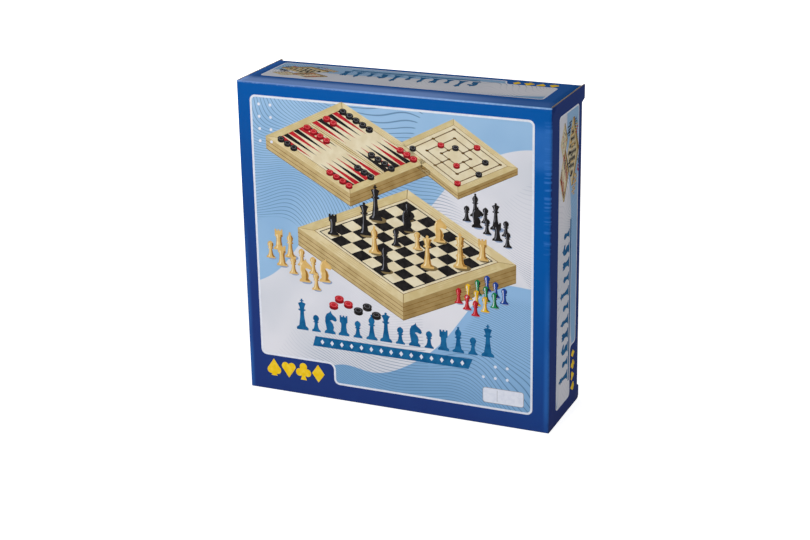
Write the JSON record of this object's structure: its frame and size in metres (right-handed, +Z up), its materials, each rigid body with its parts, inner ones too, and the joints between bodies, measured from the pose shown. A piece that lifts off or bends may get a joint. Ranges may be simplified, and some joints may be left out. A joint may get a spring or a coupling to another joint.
{
  "type": "games compendium box",
  "caption": "Telescoping printed carton holding a wooden games case with a chess lid, a ludo board, a lift-out backgammon tray and bays of men, stones, pawns and dice.",
  "frame": {"origin": "centre of the box's footprint, at the underside of the carton that it stands on", "axes": "+X to the right seen from the front, -Y out of the printed front panel, +Z up"},
  "size_m": [0.3, 0.0914, 0.3],
  "materials": {
    "printed_carton": "gloss laminated print, soft folds",
    "case_wood": "satin lacquered pine",
    "rail_wood": "satin lacquered pine",
    "plywood": "bare plywood",
    "printed_plywood": "printed and lacquered plywood",
    "natural_lacquer": "gloss lacquered wood",
    "black_lacquer": "gloss lacquered wood",
    "red_lacquer": "gloss lacquered wood",
    "yellow_lacquer": "gloss lacquered wood",
    "green_lacquer": "gloss lacquered wood",
    "blue_lacquer": "gloss lacquered wood",
    "dice_white": "gloss"
  },
  "bodies": {
    "carton_tray": {"carton_tray": "printed_carton"},
    "case": {"case_wall_left": "case_wood", "case_wall_right": "case_wood", "case_wall_top": "case_wood", "case_wall_bottom": "case_wood", "case_floor": "plywood", "case_feet": "case_wood", "case_divider_left": "case_wood", "case_divider_right": "case_wood", "case_crosspiece_low": "case_wood", "case_crosspiece_high": "case_wood"},
    "backgammon_tray": {"backgammon_rail_left": "rail_wood", "backgammon_rail_right": "rail_wood", "backgammon_rail_top": "rail_wood", "backgammon_rail_bottom": "rail_wood", "backgammon_panel": "printed_plywood", "backgammon_bar": "rail_wood"},
    "ludo_board": {"ludo_rim_left": "rail_wood", "ludo_rim_right": "rail_wood", "ludo_rim_top": "rail_wood", "ludo_rim_bottom": "rail_wood", "ludo_panel": "printed_plywood"},
    "chess_lid": {"chess_lid_rail_left": "rail_wood", "chess_lid_rail_right": "rail_wood", "chess_lid_rail_top": "rail_wood", "chess_lid_rail_bottom": "rail_wood", "chess_panel": "printed_plywood"},
    "carton_cover": {"carton_cover": "printed_carton"},
    "natural_chessmen": {"natural_king": "natural_lacquer", "natural_queen": "natural_lacquer", "natural_bishops": "natural_lacquer", "natural_knights": "natural_lacquer", "natural_rooks": "natural_lacquer", "natural_pawns": "natural_lacquer"},
    "black_chessmen": {"black_king": "black_lacquer", "black_queen": "black_lacquer", "black_bishops": "black_lacquer", "black_knights": "black_lacquer", "black_rooks": "black_lacquer", "black_pawns": "black_lacquer"},
    "red_stones": {"red_stones": "red_lacquer"},
    "black_stones": {"black_stones": "black_lacquer"},
    "dice": {"dice": "dice_white"},
    "red_ludo_pawns": {"red_ludo_pawns": "red_lacquer"},
    "yellow_ludo_pawns": {"yellow_ludo_pawns": "yellow_lacquer"},
    "green_ludo_pawns": {"green_ludo_pawns": "green_lacquer"},
    "blue_ludo_pawns": {"blue_ludo_pawns": "blue_lacquer"}
  },
  "joints": [
    {"name": "case_lift", "type": "slide", "parent": "carton_tray", "child": "case", "axis": [0, -1, 0], "range_m": [0, 0.1]},
    {"name": "backgammon_lift", "type": "slide", "parent": "case", "child": "backgammon_tray", "axis": [0, -1, 0], "range_m": [0, 0.14]},
    {"name": "ludo_lift", "type": "slide", "parent": "backgammon_tray", "child": "ludo_board", "axis": [0, -1, 0], "range_m": [0, 0.05]},
    {"name": "chess_lid_lift", "type": "slide", "parent": "ludo_board", "child": "chess_lid", "axis": [0, -1, 0], "range_m": [0, 0.06]},
    {"name": "cover_lift", "type": "slide", "parent": "chess_lid", "child": "carton_cover", "axis": [0, -1, 0], "range_m": [0, 0.11]},
    {"name": "natural_chessmen_lift", "type": "slide", "parent": "case", "child": "natural_chessmen", "axis": [0, -1, 0], "range_m": [0, 0.084]},
    {"name": "black_chessmen_lift", "type": "slide", "parent": "case", "child": "black_chessmen", "axis": [0, -1, 0], "range_m": [0, 0.084]},
    {"name": "red_stones_lift", "type": "slide", "parent": "case", "child": "red_stones", "axis": [0, -1, 0], "range_m": [0, 0.07]},
    {"name": "black_stones_lift", "type": "slide", "parent": "case", "child": "black_stones", "axis": [0, -1, 0], "range_m": [0, 0.07]},
    {"name": "dice_lift", "type": "slide", "parent": "case", "child": "dice", "axis": [0, -1, 0], "range_m": [0, 0.056]},
    {"name": "red_ludo_pawns_lift", "type": "slide", "parent": "case", "child": "red_ludo_pawns", "axis": [0, -1, 0], "range_m": [0, 0.063]},
    {"name": "yellow_ludo_pawns_lift", "type": "slide", "parent": "case", "child": "yellow_ludo_pawns", "axis": [0, -1, 0], "range_m": [0, 0.063]},
    {"name": "green_ludo_pawns_lift", "type": "slide", "parent": "case", "child": "green_ludo_pawns", "axis": [0, -1, 0], "range_m": [0, 0.063]},
    {"name": "blue_ludo_pawns_lift", "type": "slide", "parent": "case", "child": "blue_ludo_pawns", "axis": [0, -1, 0], "range_m": [0, 0.063]}
  ],
  "couplings": [
    {"joint": "natural_chessmen_lift", "follows": "backgammon_lift", "ratio": 0.6},
    {"joint": "black_chessmen_lift", "follows": "backgammon_lift", "ratio": 0.6},
    {"joint": "red_stones_lift", "follows": "backgammon_lift", "ratio": 0.5},
    {"joint": "black_stones_lift", "follows": "backgammon_lift", "ratio": 0.5},
    {"joint": "dice_lift", "follows": "backgammon_lift", "ratio": 0.4},
    {"joint": "red_ludo_pawns_lift", "follows": "backgammon_lift", "ratio": 0.45},
    {"joint": "yellow_ludo_pawns_lift", "follows": "backgammon_lift", "ratio": 0.45},
    {"joint": "green_ludo_pawns_lift", "follows": "backgammon_lift", "ratio": 0.45},
    {"joint": "blue_ludo_pawns_lift", "follows": "backgammon_lift", "ratio": 0.45}
  ]
}
